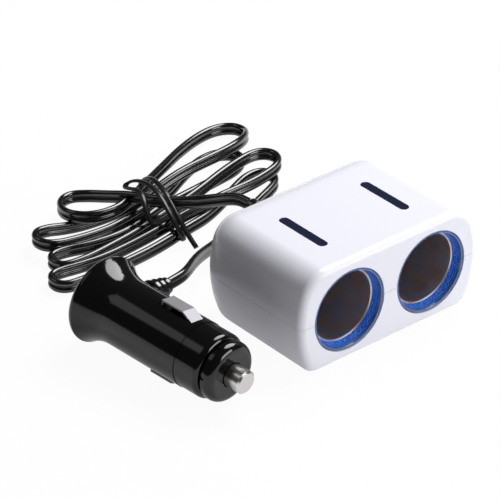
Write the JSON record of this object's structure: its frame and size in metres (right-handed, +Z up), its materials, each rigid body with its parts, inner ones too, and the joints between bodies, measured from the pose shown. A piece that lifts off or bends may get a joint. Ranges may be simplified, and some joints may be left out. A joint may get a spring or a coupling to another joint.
{
  "type": "cigarette lighter socket splitter",
  "caption": "Lighter-socket splitter: rounded white housing with blue-ringed sockets side by side, a tied flat lead and a fused plug with sprung contacts.",
  "frame": {"origin": "middle of the housing's foot, on the surface that it stands on", "axes": "+X to the right seen from the front, sockets open along -Y, +Z up"},
  "size_m": [0.119, 0.1275, 0.033],
  "materials": {
    "housing_white": "glossy",
    "ring_blue": "translucent",
    "nickel": "plated",
    "brass": "bright",
    "steel": "plain",
    "insulator": "matte",
    "window_dark": "smoked",
    "board": "lacquered",
    "lamp": "diffuse",
    "fuse": "clear, metal ends",
    "plug_black": "glossy",
    "cord_black": "glossy",
    "tie_black": "satin"
  },
  "bodies": {
    "housing": {"upper_shell": "housing_white", "lower_shell": "housing_white", "ring_left": "ring_blue", "socket_tube_left": "nickel", "socket_base_left": "insulator", "centre_contact_left": "brass", "light_window_left": "window_dark", "ring_right": "ring_blue", "socket_tube_right": "nickel", "socket_base_right": "insulator", "centre_contact_right": "brass", "light_window_right": "window_dark", "feed_bar": "brass", "earth_strap": "nickel", "light_board": "board", "lamps": "lamp", "case_screws": "steel", "cord_grommet": "cord_black", "cord_tail_housing": "cord_black", "cord_tail_plug": "cord_black", "cord_hank": "cord_black", "hank_tie": "tie_black", "plug_shell_left": "plug_black", "plug_shell_right": "plug_black", "plug_collar": "plug_black", "pin_spring": "steel", "feed_terminal": "brass", "cord_sleeve": "cord_black"},
    "pin": {"centre_pin": "nickel", "fuse": "fuse"},
    "contact_top": {"side_contact_top": "nickel"},
    "contact_bottom": {"side_contact_bottom": "nickel"},
    "tip": {"tip_cap": "plug_black"}
  },
  "joints": [
    {"name": "pin_press", "type": "slide", "parent": "housing", "child": "pin", "axis": [-0.1096, 0.9927, 0.0494], "range_m": [0, 0.004], "stiffness_N_per_m": 400, "springref_m": -0.003, "deforming": ["pin_spring"]},
    {"name": "contact_top_press", "type": "hinge", "parent": "housing", "child": "contact_top", "pos_m": [-0.06038, 0.01657, 0.02034], "axis": [0.9779, 0.1166, -0.1734], "range_deg": [0, 4.2], "stiffness_Nm_per_rad": 0.05, "springref_deg": -1.72},
    {"name": "contact_bottom_press", "type": "hinge", "parent": "housing", "child": "contact_bottom", "pos_m": [-0.06308, 0.01701, 0.00539], "axis": [-0.9779, -0.1166, 0.1734], "range_deg": [0, 4.2], "stiffness_Nm_per_rad": 0.05, "springref_deg": -1.72},
    {"name": "tip_cap_turn", "type": "hinge", "parent": "housing", "child": "tip", "pos_m": [-0.05773, -0.01944, 0.01107], "axis": [0.1096, -0.9927, -0.0494], "range_deg": [0, 360]}
  ]
}
